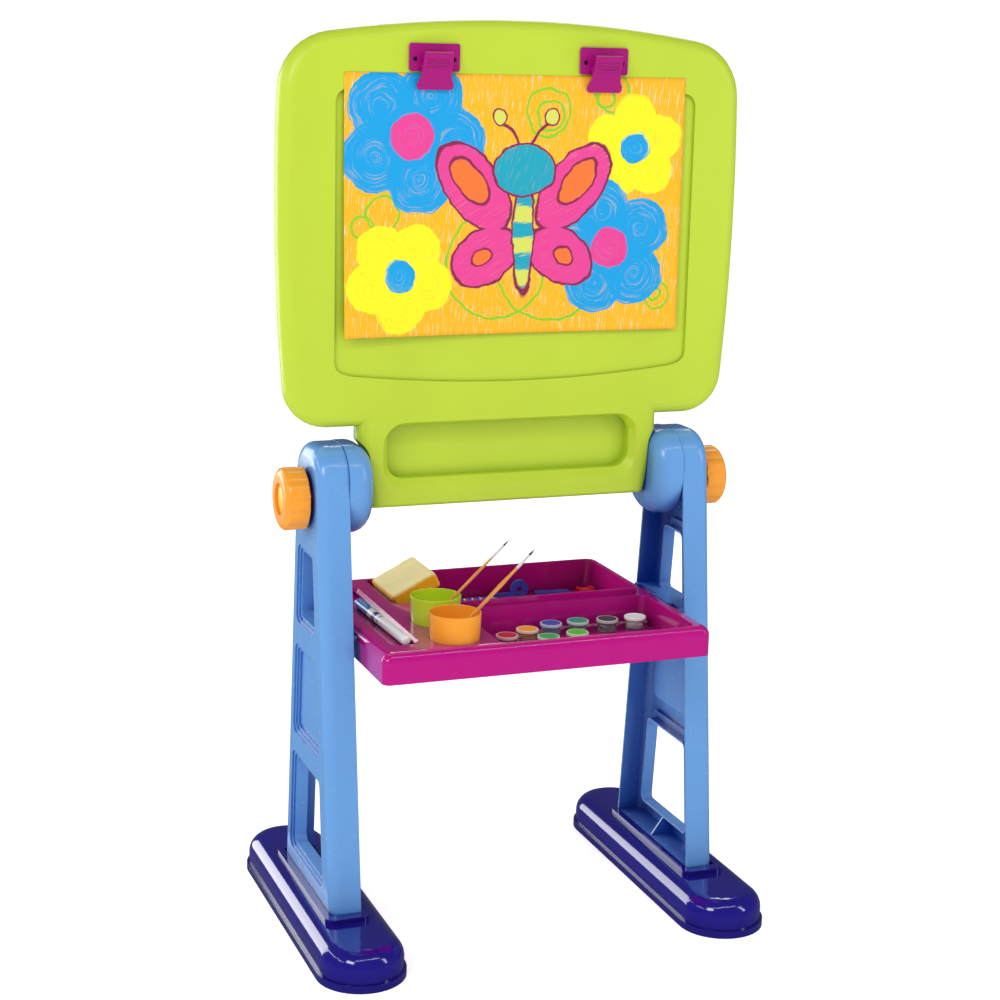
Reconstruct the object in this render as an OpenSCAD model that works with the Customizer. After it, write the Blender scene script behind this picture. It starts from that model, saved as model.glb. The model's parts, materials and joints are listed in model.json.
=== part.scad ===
/* [Board] */
// Greatest width of the drawing board
board_w = 572; // [540:2:580]
// Height of the top of the board above the floor
board_top = 1072; // [1060:1:1090]
// Height of the lower edge of the board above the floor
board_bottom = 608; // [600:1:614]
// Thickness of the board, front face to back face
board_t = 40; // [36:1:44]
// Radius of the rounded edge all round the board
board_edge_r = 17; // [10:1:17]
// Depth of the recessed drawing area
recess_depth = 3.5; // [2:0.5:5]
// Half width of the neck between the hubs
neck_half_w = 177.5; // [170:0.5:177.5]
// Depth of the pen pocket in the neck
pocket_depth = 22; // [14:1:24]

/* [Pivot] */
// Height of the tilt axis above the floor
pivot_z = 525; // [520:1:530]
// Distance from the middle of the feet back to the tilt axis
pivot_y = 6; // [0:1:10]
// Radius of the threaded pivot bolts
bolt_r = 4; // [3:0.5:5]
// Outer radius of the clamping knobs
knob_r = 36.6; // [30:1:38]
// Number of grip lobes on a knob
knob_lobes = 12; // [8:1:16]

/* [Legs] */
// Distance from the middle plane to the open inner side of a leg
leg_in = 212; // [211:0.5:214]
// Distance from the middle plane to the outer face of a leg
leg_out = 249; // [244:0.5:249.5]
// Radius of the rounded leg head
head_r = 52.5; // [50:0.5:54]
// Height of the centre of the leg head
head_z = 536; // [534:1:540]
// Lean of the front edge of a leg, degrees
front_lean = 6.87; // [5:0.01:8]
// Lean of the rear edge of a leg, degrees
rear_lean = 5.33; // [4:0.01:7]
// Wall thickness of the moulded shells
wall = 3; // [2:0.5:4]

/* [Feet] */
// Half width of a foot at the floor
foot_half_w = 53; // [50:1:54]
// Half length of a foot at the floor
foot_half_l = 214; // [205:1:225]
// Height of the top face of a foot
foot_h = 43; // [40:1:45]

/* [Tray] */
// Half width of the tray
tray_half_w = 204; // [196:1:205]
// Height of the top face of the tray
tray_top = 377; // [375:0.5:380]
// Height of the tray's skirt
tray_h = 36; // [34:1:40]

/* [Set pieces] */
// Radius of a water cup at its rim
cup_r = 30.4; // [26:0.2:31]
// Width of the paper sheet
paper_w = 420; // [297:1:430]
// Height of the paper sheet
paper_h = 297; // [210:1:300]

/* [Hidden] */
$fn = 64;
thin = 0.01;
over = 1;
edge_steps = 6;
gap = 0.3;

// board outline
board_side_r = 2800;
board_side_z = 870;
board_crown_r = 1500;
board_top_corner_r = 68;
board_low_corner_r = 50;
half_t = board_t / 2;
recess_half_w = 222;
recess_top = 1007;
recess_low = 657;
neck_low = 509.5;
neck_wide_half = 191;
neck_edge_r = 17;
pocket = [324, 78];
pocket_z = 573;
board_posts = [[-245, 668], [245, 668], [-252, 840], [252, 840], [-225, 1015], [225, 1015],
               [0, 1040], [-110, 636], [110, 636]];

// pivot
boss_r = 9.8;
boss_end = leg_in - 1.5;
bearing_end = leg_in + 0.6;
knob_x = 253.5;
knob_t = 29;
hub_gap = 0.6;
cap_r = 54;
cap_z = 535;
cap_x = 178.6;
cap_edge_r = 21;
cap_hole_r = 10.6;
cap_corner = 13;
cap_t = 2.5;
peg = [26, 18];

// leg
head_y = pivot_y + 1.5;
leg_edge_r = 13;
leg_top_r = 16;
head_corner_r = 40;
leg_foot_z = 42;
leg_floor = 6;
window_front = 43;
window_rear = 32;
window_flange = 19;
windows = [[372, 454], [229, 328], [74, 188]];
ledge_z = 372;
ledge_t = 4;
shelf_z = 364;
ledge_notches = [[-58, -33], [17, 63]];
tongue = [-52, 62];
tongue_h = 3.6;
foot_bolt_y = [-70, 70];

// feet
foot_x = 229.8;
foot_lip = 3;
foot_lip_h = 9;
foot_edge_r = 20;
collar_h = 6;
collar_margin = 9;

// tray
tray_front = -156;
tray_rear = 175;
tray_low = tray_top - tray_h;
tray_floor = tray_low + 4;
tray_t = 2.5;
front_pan = [[-61, -147], [187, -3]];
rear_pan = [[-62, 8], [180, 154]];
rear_rim = 4;
rear_rim_h = 7.5;
slot_pan = [[-184, -123], [-149, 131]];
sponge_pan = [[-129.5, 42], [-87.5, 158]];
sponge_deep = 16.2;
slot_deep = 9;
cup_green_at = [-102.9, -37.5];
cup_orange_at = [-104.9, -111.9];
cup_base_r = cup_r - 1.4;
cup_seat = 5;
cup_h = 36;
cup_t = 1.6;

// clips
clip_x = 104;
clip_shift = -3.5;
clip_tilt = 21;
clip_plate = [60, 31, 3];
clip_plate_z = 1028.5;
clip_pin_z = 1019;
clip_pin_out = 7.5;
clip_face_out = 14;
clip_ear = 12.5;
clip_cheek = 16;
clip_screw_x = 23;

// paint pots: x, y of each pot
pot_r = 12.2;
pot_h = 11;
lid_r = 13.6;
lid_h = 3.6;
pot_row = [[-22, -66], [11, -48], [48, -33], [84, -32], [122, -35], [160, -34]];
pot_pair = [[24, -84], [64, -78]];

// ---------- outlines ----------

// Points on an arc from angle a0 to angle a1
function arc(c, r, a0, a1, n) =
    [for (i = [0:n]) let (a = a0 + (a1 - a0) * i / n) [c.x + r * cos(a), c.y + r * sin(a)]];

// The same arc without its two end points
function inner_arc(c, r, a0, a1, n) =
    [for (i = [1:n - 1]) let (a = a0 + (a1 - a0) * i / n) [c.x + r * cos(a), c.y + r * sin(a)]];

// The points off the middle plane, on its other side and in reverse order
function mirrored(pts) = [for (i = [len(pts) - 1:-1:0]) if (pts[i].x > 0.001) [-pts[i].x, pts[i].y]];

// Corner k of a closed outline, replaced by an arc of radius r
function corner_arc(pts, k, r, n) =
    let (m = len(pts), p = pts[k], a = pts[(k + m - 1) % m] - p, b = pts[(k + 1) % m] - p,
         u = a / norm(a), v = b / norm(b), half = acos(u * v) / 2,
         c = p + (u + v) / norm(u + v) * r / sin(half),
         s = p + u * r / tan(half) - c, e = p + v * r / tan(half) - c,
         a0 = atan2(s.y, s.x), turn = atan2(e.y, e.x) - a0,
         sweep = turn > 180 ? turn - 360 : turn < -180 ? turn + 360 : turn)
    arc(c, r, a0, a0 + sweep, n);

// A closed outline with every corner rounded
function filleted(pts, r, n = 5) = [for (k = [0:len(pts) - 1]) each corner_arc(pts, k, r, n)];

// A rectangle between two opposite corners, drawn in by d, with rounded corners
function box_outline(lo, hi, r, d = 0) =
    filleted([[lo.x + d, lo.y + d], [hi.x - d, lo.y + d], [hi.x - d, hi.y - d], [lo.x + d, hi.y - d]],
             r);

// Centre of the circle of radius r that touches two larger circles from inside
function nested_centre(c0, r0, c1, r1, r) =
    let (d = norm(c1 - c0), u = (c1 - c0) / d, a = (pow(r0 - r, 2) - pow(r1 - r, 2) + d * d) / (2 * d),
         h = sqrt(pow(r0 - r, 2) - a * a))
    c0 + a * u + h * [-u.y, u.x];

// Board outline, drawn in by d
side_c = [board_w / 2 - board_side_r, board_side_z];
crown_c = [0, board_top - board_crown_r];
top_c = nested_centre(crown_c, board_crown_r, side_c, board_side_r, board_top_corner_r);
top_corner_c = top_c.x > 0 ? top_c : nested_centre(side_c, board_side_r, crown_c, board_crown_r,
                                                   board_top_corner_r);
low_corner_z = board_bottom + board_low_corner_r;
low_corner_c = [side_c.x + sqrt(pow(board_side_r - board_low_corner_r, 2)
                                - pow(low_corner_z - board_side_z, 2)), low_corner_z];
side_a0 = atan2(low_corner_c.y - side_c.y, low_corner_c.x - side_c.x);
side_a1 = atan2(top_corner_c.y - side_c.y, top_corner_c.x - side_c.x);
crown_a = atan2(top_corner_c.y - crown_c.y, top_corner_c.x - crown_c.x);
function board_half(d) =
    concat(arc(low_corner_c, board_low_corner_r - d, -90, side_a0, 8),
           inner_arc(side_c, board_side_r - d, side_a0, side_a1, 8),
           arc(top_corner_c, board_top_corner_r - d, side_a1, crown_a, 9),
           inner_arc(crown_c, board_crown_r - d, crown_a, 90, 7),
           [[0, crown_c.y + board_crown_r - d]]);
function board_outline(d) = concat(board_half(d), mirrored(board_half(d)));

// Recessed drawing area, drawn in by d: straight sides, arched top and bottom
recess_crown_r = 1500;
recess_belly_r = 1700;
recess_corner_r = 15;
recess_dip = 14;
function recess_half(d) =
    concat(arc([0, recess_low + recess_belly_r], recess_belly_r - d, -90, -83.2, 6),
           arc([recess_half_w - recess_corner_r, recess_low + recess_dip + recess_corner_r],
               recess_corner_r - d, -80, 0, 5),
           arc([recess_half_w - recess_corner_r, recess_top - recess_dip - recess_corner_r],
               recess_corner_r - d, 0, 80, 5),
           arc([0, recess_top - recess_crown_r], recess_crown_r - d, 82.3, 90, 6));
function recess_outline(d) = concat(recess_half(d), mirrored(recess_half(d)));

// Neck outline, half width w at its lower edge z0 and wider above, drawn in by d at the sides
function neck_outline(w, w1, z0, d) =
    let (a = w - d, b = w1 - d, z = z0 + d / 3, z1 = board_bottom + 60 - d)
    filleted([[-a, z], [a, z], [b, z + 52], [b, z1], [-b, z1], [-b, z + 52]], 7, 4);

// Leg outline in the side view, drawn in by d at the front and rear and by dt at the top
function leg_front_y(z, d = 0) = head_y - (head_r - d) / cos(front_lean) - tan(front_lean) * (head_z - z);
function leg_rear_y(z, d = 0) = head_y + (head_r - d) / cos(rear_lean) + tan(rear_lean) * (head_z - z);
function leg_outline(d, dt, z0) =
    let (z1 = head_z + head_r - dt,
         pts = [[leg_front_y(z0, d), z0], [leg_rear_y(z0, d), z0], [leg_rear_y(z1, d), z1],
                [leg_front_y(z1, d), z1]])
    concat([pts[0], pts[1]], corner_arc(pts, 2, head_corner_r - d, 13),
           corner_arc(pts, 3, head_corner_r - d, 13));

// Window outline between two heights, grown by g
function window_outline(w, g, r = 7) =
    let (z0 = w[0] - g, z1 = w[1] + g)
    filleted([[leg_front_y(z0) + window_front - g, z0], [leg_rear_y(z0) - window_rear + g, z0],
              [leg_rear_y(z1) - window_rear + g, z1], [leg_front_y(z1) + window_front - g, z1]],
             r + g / 2);

// ---------- helpers ----------

// Extrudes the child from 0 to depth with its far edge rounded; the child reads $inset
module soft_slab(depth, r, base = 0) {
    hull() {
        linear_extrude(depth - r) { $inset = base; children(); }
        for (i = [1:edge_steps]) {
            $inset = base + r * (1 - cos(90 * i / edge_steps));
            translate([0, 0, depth - r + r * sin(90 * i / edge_steps) - thin])
                linear_extrude(thin) children();
        }
    }
}

// Turns a shape drawn flat into the board's plane: drawn x, z, and depth towards the front
module on_board() {
    translate([0, pivot_y, 0]) rotate([90, 0, 0]) children();
}

// Turns a shape drawn flat into the side view: drawn y, z, and height along +X
module side_view() {
    rotate([90, 0, 90]) children();
}

// Lays the child's Z axis along +X on the tilt axis
module on_pivot() {
    translate([0, pivot_y, pivot_z]) rotate([0, 90, 0]) children();
}

module left_of() {
    mirror([1, 0, 0]) children();
}

// Flat plate between two heights
module plate(pts, z0, z1) {
    translate([0, 0, z0]) linear_extrude(z1 - z0) polygon(pts);
}

// Lays the child's Z axis along the line from p to q
module along(p, q) {
    v = q - p;
    translate(p) rotate([0, acos(v.z / norm(v)), atan2(v.y, v.x)]) children();
}

module tube(r1, r0, z0, z1) {
    translate([0, 0, z0]) difference() {
        cylinder(r = r1, h = z1 - z0);
        translate([0, 0, -over]) cylinder(r = r0, h = z1 - z0 + 2 * over);
    }
}

// Pan-head screw along +Z: the underside of its head is at 0
module screw(r, len, head_r, head_h) {
    cylinder(r = r, h = len);
    translate([0, 0, -head_h]) difference() {
        cylinder(r = head_r, h = head_h + thin);
        for (a = [0, 90]) rotate(a) translate([-head_r * 0.6, -0.4, -over])
            cube([head_r * 1.2, 0.8, over + 1]);
    }
}

// ---------- feet ----------

function foot_outline(d) =
    let (r = foot_half_w - d, s = foot_half_l - foot_half_w)
    concat(arc([foot_x, -s], r, 180, 360, 22), arc([foot_x, s], r, 0, 180, 22));
function collar_outline(g, r) =
    let (f = leg_front_y(leg_foot_z) - g - max(0, g - 4), b = leg_rear_y(leg_foot_z) + g)
    filleted([[leg_in - g, f], [leg_out + g, f], [leg_out + g, b], [leg_in - g, b]], r);

module foot() {
    difference() {
        union() {
            difference() {
                union() {
                    plate(foot_outline(0), 0, foot_lip_h);
                    soft_slab(foot_h, foot_edge_r) polygon(foot_outline($inset + foot_lip));
                }
                translate([0, 0, -over]) soft_slab(foot_h - wall + over, foot_edge_r - wall)
                    polygon(foot_outline($inset + foot_lip + wall));
            }
            plate(collar_outline(collar_margin, 12), foot_h - wall, foot_h + collar_h);
            plate(collar_outline(wall, 6), leg_foot_z - wall, foot_h);
            for (y = foot_bolt_y) translate([foot_x, y, 2]) cylinder(r = 9, h = foot_h - 4);
        }
        plate(collar_outline(gap, 0.5), leg_foot_z, foot_h + collar_h + over);
        for (y = foot_bolt_y) translate([foot_x, y, 0]) {
            translate([0, 0, -over]) cylinder(r = 5, h = 9 + over);
            translate([0, 0, -over]) cylinder(r = 2.3, h = 20);
            translate([0, 0, 14]) cylinder(r = 6.8, h = 40);
        }
    }
}
module foot_right() { color("#1c1688") foot(); }
module foot_left() { color("#1c1688") left_of() foot(); }

module foot_screws() {
    color("silver") for (s = [-1, 1]) for (y = foot_bolt_y)
        translate([s * foot_x, y, 8.95]) screw(2, 24, 4, 2.6);
}

// ---------- legs ----------

// Inset of an edge of radius r, at distance e short of the flat face; it never runs quite straight
function edge_inset(e, r) =
    0.0005 * pow(leg_top_r - e, 2) + (e < r ? r - sqrt(r * r - pow(r - e, 2)) : 0);

// Body of a leg from x0 to x1 with its outer edges rounded, drawn in by d all round
module leg_body(x0, x1, d, z0) {
    side_view() hull() {
        translate([0, 0, x0]) linear_extrude(x1 - leg_top_r + d - x0) polygon(leg_outline(d, d, z0));
        for (k = [0.84, 0.66, 0.5, 0.35, 0.23, 0.13, 0.06, 0.015, 0]) {
            e = k * (leg_top_r - d);
            translate([0, 0, x1 - e - thin]) linear_extrude(thin) polygon(leg_outline(
                d + edge_inset(e, leg_edge_r - d), d + edge_inset(e, leg_top_r - d), z0));
        }
    }
}

// Closed border round a window: two steps down from the outer face
module window_block(w, closed) {
    side_view() {
        plate(window_outline(w, 10.5), leg_out - (closed ? 10 : 8), leg_out - 1.5);
        if (!closed) plate(window_outline(w, 2.5), leg_out - window_flange, leg_out - 1.5);
    }
}
module window_cut(w, closed) {
    side_view() {
        plate(window_outline(w, 8), leg_out - 2.2, leg_out + over);
        plate(window_outline(w, 4), leg_out - 4.6, leg_out + over);
        plate(window_outline(w, 0), leg_out - (closed ? 7.4 : 44), leg_out + over);
    }
}

// Cross plate between the flanges of a leg, from x0 outwards, with its top at z
module leg_plate(x0, z, t) {
    f = leg_front_y(z) + 1;
    b = leg_rear_y(z - t) - 1;
    plate([[x0, f + 6], [leg_in, f], [leg_out - 11, f], [leg_out - 6, f + 3], [leg_out - 2, f + 8],
           [leg_out - 2, b - 8], [leg_out - 6, b - 3], [leg_out - 11, b], [leg_in, b], [x0, b - 6]],
          z - t, z);
}

module leg_ledge() {
    difference() {
        leg_plate(tray_half_w + 2, ledge_z, ledge_t);
        for (n = ledge_notches) translate([tray_half_w, n.x, ledge_z - ledge_t - over])
            cube([9, n.y - n.x, ledge_t + 2 * over]);
    }
    leg_plate(leg_in, shelf_z, 3);
}

module leg() {
    floor_top = leg_foot_z + leg_floor;
    difference() {
        union() {
            difference() {
                leg_body(leg_in, leg_out, 0, leg_foot_z);
                leg_body(leg_in - over, leg_out - wall, wall, floor_top);
            }
            for (k = [0:2]) window_block(windows[k], k == 1);
            leg_ledge();
            // bearing for the pivot bolt
            on_pivot() translate([0, 0, bearing_end]) cylinder(r = 13, h = leg_out - bearing_end - over);
            // sockets for the pegs of the hub cap
            for (k = [-1, 1]) translate([0, head_y + k * peg.x, cap_z + peg.y]) rotate([0, 90, 0])
                translate([0, 0, leg_in + 5]) cylinder(r = 6, h = leg_out - leg_in - 7);
            // gusset from the floor to the lowest window
            translate([0, head_y + 1.5, 0]) rotate([90, 0, 0]) linear_extrude(wall)
                polygon([[leg_in + 2, floor_top - 1], [leg_out - 2, floor_top - 1],
                         [leg_out - 2, windows[2][0] - 1], [leg_out - 16, windows[2][0] - 1]]);
            // pegs down into the foot
            for (y = foot_bolt_y) translate([foot_x, y, 15])
                cylinder(r = 6.3, h = leg_foot_z + 1 - 15);
        }
        for (k = [0:2]) window_cut(windows[k], k == 1);
        on_pivot() translate([0, 0, leg_in - 5]) cylinder(r = bolt_r + 0.06, h = 45);
        for (k = [-1, 1]) translate([0, head_y + k * peg.x, cap_z + peg.y]) rotate([0, 90, 0])
            translate([0, 0, leg_in]) cylinder(r = 3.6, h = 28);
        for (y = foot_bolt_y) translate([foot_x, y, 10]) cylinder(r = 2.05, h = 28);
    }
}
module leg_right() { color("#74a8dc") leg(); }
module leg_left() { color("#74a8dc") left_of() leg(); }

// ---------- hub ----------

// Profile of the cap's rounded edge: radius and distance from the middle plane, grown by g
function cap_profile(g) =
    arc([cap_r - cap_edge_r, cap_x + cap_edge_r], cap_edge_r + g, -90, 0, 8);

// Cap outline in the side view, round below and squarer above, drawn in by d
function cap_outline(d) =
    let (c = cap_corner)
    concat(arc([head_y, cap_z], cap_r - d, 180, 360, 22),
           arc([head_y + c, cap_z + c], cap_r - c - d, 0, 90, 9),
           arc([head_y - c, cap_z + c], cap_r - c - d, 90, 180, 9));

module cap_slab(depth, r, d) {
    translate([leg_in - gap, 0, 0]) mirror([1, 0, 0]) side_view() translate([0, 0, -d])
        soft_slab(depth + d, r) polygon(cap_outline(d + $inset));
}

// Cap over the inner side of the leg head, with a lip that enters the head
module hub_cap() {
    depth = leg_in - gap - cap_x;
    color("#74a8dc") {
        difference() {
            cap_slab(depth, cap_edge_r, 0);
            cap_slab(depth - cap_t, cap_edge_r - cap_t, cap_t);
            on_pivot() translate([0, 0, cap_x - over]) cylinder(r = cap_hole_r, h = 10);
        }
        side_view() difference() {
            union() {
                plate(cap_outline(cap_t - 1), leg_in - 5, leg_in - gap);
                intersection() {
                    plate(cap_outline(4.6), leg_in - 5, leg_in + 4);
                    plate(leg_outline(wall + 0.6, wall + 0.6, 400), leg_in - 6, leg_in + 5);
                }
            }
            plate(cap_outline(8.2), leg_in - 6, leg_in + 5);
        }
        for (k = [-1, 1]) translate([0, head_y + k * peg.x, cap_z + peg.y]) rotate([0, 90, 0])
            translate([0, 0, cap_x + 1]) cylinder(r = 3.5, h = leg_in + 18 - cap_x);
    }
}
module hub_cap_right() { hub_cap(); }
module hub_cap_left() { left_of() hub_cap(); }

module washer() {
    color("#303034") on_pivot() tube(13, bolt_r + 1, boss_end + 0.5, bearing_end);
}
module washer_right() { washer(); }
module washer_left() { left_of() washer(); }

// ---------- knobs ----------

module knob() {
    lobe_at = knob_r - 15.5;
    color("#f7a536") on_pivot() difference() {
        union() {
            intersection() {
                translate([0, 0, knob_x]) linear_extrude(knob_t) {
                    circle(r = knob_r - 3);
                    for (k = [0:knob_lobes - 1]) rotate(360 * k / knob_lobes)
                        translate([lobe_at, 0]) circle(r = 16);
                }
                rotate_extrude() polygon(concat(
                    [[0, knob_x], [knob_r - 1, knob_x], [knob_r + 1, knob_x + 1.5]],
                    arc([knob_r - 9, knob_x + knob_t - 10], 10, 0, 78, 8),
                    [[0, knob_x + knob_t]]));
            }
            translate([0, 0, leg_out + hub_gap]) cylinder(r = 12, h = 8);
        }
        // crater for the disc, pocket for the bolt's head, bore for its shank
        translate([0, 0, knob_x + knob_t - 6.5]) cylinder(r = 19, h = 10);
        translate([0, 0, knob_x + knob_t - 14]) cylinder(r = 7.6, h = 10, $fn = 6);
        translate([0, 0, leg_out - over]) cylinder(r = bolt_r + 0.1, h = 40);
        translate([0, 0, knob_x - over]) tube(knob_r - 6, 15, 0, 20);
    }
}
module knob_right() { knob(); }
module knob_left() { left_of() knob(); }

module knob_disc() {
    color("#c3da2e") on_pivot() rotate_extrude() polygon(concat(
        [[0, knob_x + knob_t - 6.4], [18.6, knob_x + knob_t - 6.4], [18.6, knob_x + knob_t - 3.8]],
        arc([0, knob_x + knob_t - 100], 98, 79.4, 90, 6)));
}
module knob_disc_right() { knob_disc(); }
module knob_disc_left() { left_of() knob_disc(); }

module pivot_bolt() {
    color("silver") on_pivot() {
        translate([0, 0, boss_end - 22]) cylinder(r = bolt_r, h = knob_x + knob_t - 13.9 - boss_end + 22);
        translate([0, 0, knob_x + knob_t - 13.9]) cylinder(r = 7.4, h = 6, $fn = 6);
    }
}
module pivot_bolt_right() { pivot_bolt(); }
module pivot_bolt_left() { left_of() pivot_bolt(); }

module nut_insert() {
    color("goldenrod") on_pivot() tube(7, bolt_r + 0.05, boss_end - 15, boss_end - 3);
}
module nut_insert_right() { nut_insert(); }
module nut_insert_left() { left_of() nut_insert(); }

// ---------- board ----------

// Half of the board as a solid, from the parting plane out by depth, drawn in by d
module board_half_body(depth, d, neck_w) {
    soft_slab(depth, board_edge_r - d, d) polygon(board_outline($inset));
    soft_slab(depth, neck_edge_r - d)
        polygon(neck_outline(neck_half_w - d + 0.5, neck_w, neck_low + d, $inset));
}

// Room for the caps: the neck follows their outline at one distance all through the tilt
module cap_room() {
    rise = norm([head_y - pivot_y + cap_corner, cap_z + cap_corner - pivot_z]) - cap_corner;
    for (s = [-1, 1]) translate([0, pivot_z, 0]) rotate([0, s * 90, 0]) rotate_extrude() polygon(concat(
        [[0, neck_half_w]], [for (q = cap_profile(0.8)) [q.x + rise, max(q.y, neck_half_w)]],
        [[cap_r + rise + 0.8, neck_half_w + 40], [0, neck_half_w + 40]]));
}

// Hollow half shell with a panel recessed into its face
module board_shell(depth) {
    difference() {
        board_half_body(half_t, 0, neck_wide_half);
        difference() {
            translate([0, 0, -thin]) board_half_body(half_t - wall, wall, neck_half_w - wall + 1);
            plate(recess_outline(-wall), half_t - depth - wall, half_t);
        }
        plate(recess_outline(0), half_t - depth, half_t + over);
        cap_room();
    }
}

// Rounded pivot boss at both ends of the neck, along the tilt axis
module neck_bosses(r) {
    for (s = [-1, 1]) translate([0, pivot_z, 0]) rotate([0, s * 90, 0])
        translate([0, 0, neck_half_w - 20]) cylinder(r = r, h = boss_end - neck_half_w + 20);
}

function pocket_outline(d) =
    box_outline([-pocket.x / 2, pocket_z - pocket.y / 2], [pocket.x / 2, pocket_z + pocket.y / 2],
                27 - d, d);

module board_front() {
    pocket_floor = [for (q = pocket_outline(7)) [q.x, q.y + 3]];
    floor_t = half_t - pocket_depth;
    color("#b9d733") on_board() difference() {
        union() {
            board_shell(recess_depth);
            plate(pocket_outline(-wall), floor_t - wall, half_t - wall);
            neck_bosses(boss_r);
            for (p = board_posts) translate([p.x, p.y, -11.9]) cylinder(r = 5, h = half_t - wall + 11.9);
        }
        plate(pocket_floor, floor_t, half_t);
        hull() {
            plate(pocket_outline(0), half_t, half_t + over);
            plate(pocket_floor, half_t - 9, half_t - 8.9);
        }
        for (p = board_posts) translate([p.x, p.y, -14]) cylinder(r = 1.6, h = 24);
        for (s = [-1, 1]) translate([0, pivot_z, 0]) rotate([0, s * 90, 0]) {
            translate([0, 0, boss_end - 25]) cylinder(r = bolt_r + 0.6, h = 30);
            translate([0, 0, boss_end - 15.1]) cylinder(r = 7.1, h = 20);
        }
        clip_screw_places() cylinder(r = 1.4, h = 12);
    }
}

module board_back() {
    color("#b9d733") on_board() mirror([0, 0, 1]) difference() {
        union() {
            board_shell(2.5);
            for (p = board_posts) translate([p.x, p.y, 12]) cylinder(r = 7, h = half_t - 12);
        }
        for (p = board_posts) translate([p.x, p.y, 0]) {
            translate([0, 0, 14]) cylinder(r = 4.2, h = 20);
            cylinder(r = 1.8, h = 30);
        }
        neck_bosses(boss_r + gap);
    }
}

module board_screws() {
    color("#55565a") on_board() for (p = board_posts)
        translate([p.x, p.y, -14.05]) screw(1.55, 22, 3.6, 2.2);
}

module paper_sheet() {
    color("#ffbf22") on_board() translate([-2.5 - paper_w / 2, 1011 - paper_h, half_t + 0.2])
        cube([paper_w, paper_h, 0.4]);
}

// ---------- clips ----------

module clip_screw_places() {
    for (s = [-1, 1]) for (d = [-1, 1])
        translate([s * clip_x + clip_shift + d * clip_screw_x, clip_plate_z - 2, half_t - 11])
            children();
}

// Base plate with two ears for the pin, at x = 0
module clip_base() {
    color("#a50f7c") difference() {
        union() {
            plate(box_outline([-clip_plate.x / 2, clip_plate_z - clip_plate.y / 2],
                              [clip_plate.x / 2, clip_plate_z + clip_plate.y / 2], 3),
                  half_t + 0.01, half_t + clip_plate.z);
            for (s = [-1, 1]) translate([s * clip_ear - 1.2, clip_pin_z, half_t + clip_plate.z - 0.5])
                rotate([90, 0, 90]) linear_extrude(2.4) polygon(concat(
                    [[-5, 0], [5, 0]],
                    arc([0, clip_pin_out - clip_plate.z + 0.5], 3.6, 0, 180, 10)));
        }
        translate([-20, clip_pin_z, half_t + clip_pin_out]) rotate([0, 90, 0]) cylinder(r = 1.52, h = 40);
        for (d = [-1, 1]) translate([d * clip_screw_x, clip_plate_z - 2, half_t - 1])
            cylinder(r = 2.7, h = 10);
    }
}

// Lever outline: straight at the grip, flaring to the jaw
function lever_half() =
    concat([[0, 993.5], [17.5, 993.5]], arc([18, 997.5], 4, -80, 20, 4),
           arc([37.4, 1013.5], 20, 217, 180, 6), [[17.4, 1036], [16.4, 1037.5], [0, 1037.5]]);

// Lever that leans out at its grip and closes on the paper with its jaw
module clip_lever() {
    pin = [0, clip_pin_z, half_t + clip_pin_out];
    front = half_t + clip_face_out;
    color("#a50f7c") translate(pin) rotate([clip_tilt, 0, 0]) translate(-pin) difference() {
        union() {
            plate(concat(lever_half(), mirrored(lever_half())), front - 2.6, front);
            for (k = [0:2]) translate([-13, 1019.5 + 4 * k, front - 0.2]) cube([26, 1.6, 0.9]);
            // cheeks that ride on the pin
            for (s = [-1, 1]) translate([s * clip_cheek - 1.3, pin.y, pin.z])
                rotate([90, 0, 90]) linear_extrude(2.6) polygon(concat(
                    arc([0, 0], 3.4, 180, 360, 10), [[9, clip_face_out - clip_pin_out - 1],
                    [-14, clip_face_out - clip_pin_out - 1]]));
            // jaw lip that holds the paper
            translate([-16, 993.5, front - 3.7]) cube([32, 3, 2]);
        }
        translate([-20, pin.y, pin.z]) rotate([0, 90, 0]) cylinder(r = 1.56, h = 40);
    }
}

// Coil of a torsion spring round the pin, with one arm on the plate and one under the lever
module clip_spring() {
    wire = 0.6;
    turns = 6;
    coil_r = 3;
    pitch = 2 * wire * 0.9;
    arm = 11;
    color("silver") translate([0, clip_pin_z, half_t + clip_pin_out]) {
        rotate([0, 90, 0]) rotate_extrude() for (k = [0:turns])
            translate([coil_r, (k - turns / 2) * pitch]) circle(r = wire, $fn = 16);
        for (k = [-1, 1]) translate([k * turns * pitch / 2, 0, -coil_r]) rotate([-90 + 3 + 7 * k, 0, 0])
            translate([0, 0, -0.5]) cylinder(r = wire * 0.9, h = arm, $fn = 16);
    }
}

module at_clip(s) {
    on_board() translate([s * clip_x + clip_shift, 0, 0]) children();
}
module clip_base_left() { at_clip(-1) clip_base(); }
module clip_base_right() { at_clip(1) clip_base(); }
module clip_lever_left() { at_clip(-1) clip_lever(); }
module clip_lever_right() { at_clip(1) clip_lever(); }
module clip_spring_left() { at_clip(-1) clip_spring(); }
module clip_spring_right() { at_clip(1) clip_spring(); }
module clip_pins() {
    color("silver") for (s = [-1, 1]) at_clip(s)
        translate([-17.5, clip_pin_z, half_t + clip_pin_out]) rotate([0, 90, 0]) cylinder(r = 1.5, h = 35);
}
module clip_screws() {
    color("#2a2a2c") on_board() clip_screw_places()
        translate([0, 0, 11.4]) mirror([0, 0, 1]) screw(1.35, 9, 2.5, 1.5);
}

// ---------- tray ----------

function tray_outline(d) =
    box_outline([-tray_half_w, tray_front], [tray_half_w, tray_rear], 9 - d / 4, d);
function pan_outline(p, r, d) = box_outline(p[0], p[1], r, d);

// Pan whose walls draw in by taper from the top to the floor
module tapered_pan(p, r, taper, z0, z1) {
    hull() {
        plate(pan_outline(p, r, taper), z0, z0 + thin);
        plate(pan_outline(p, r, 0), z1 - thin, z1);
    }
}

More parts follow.
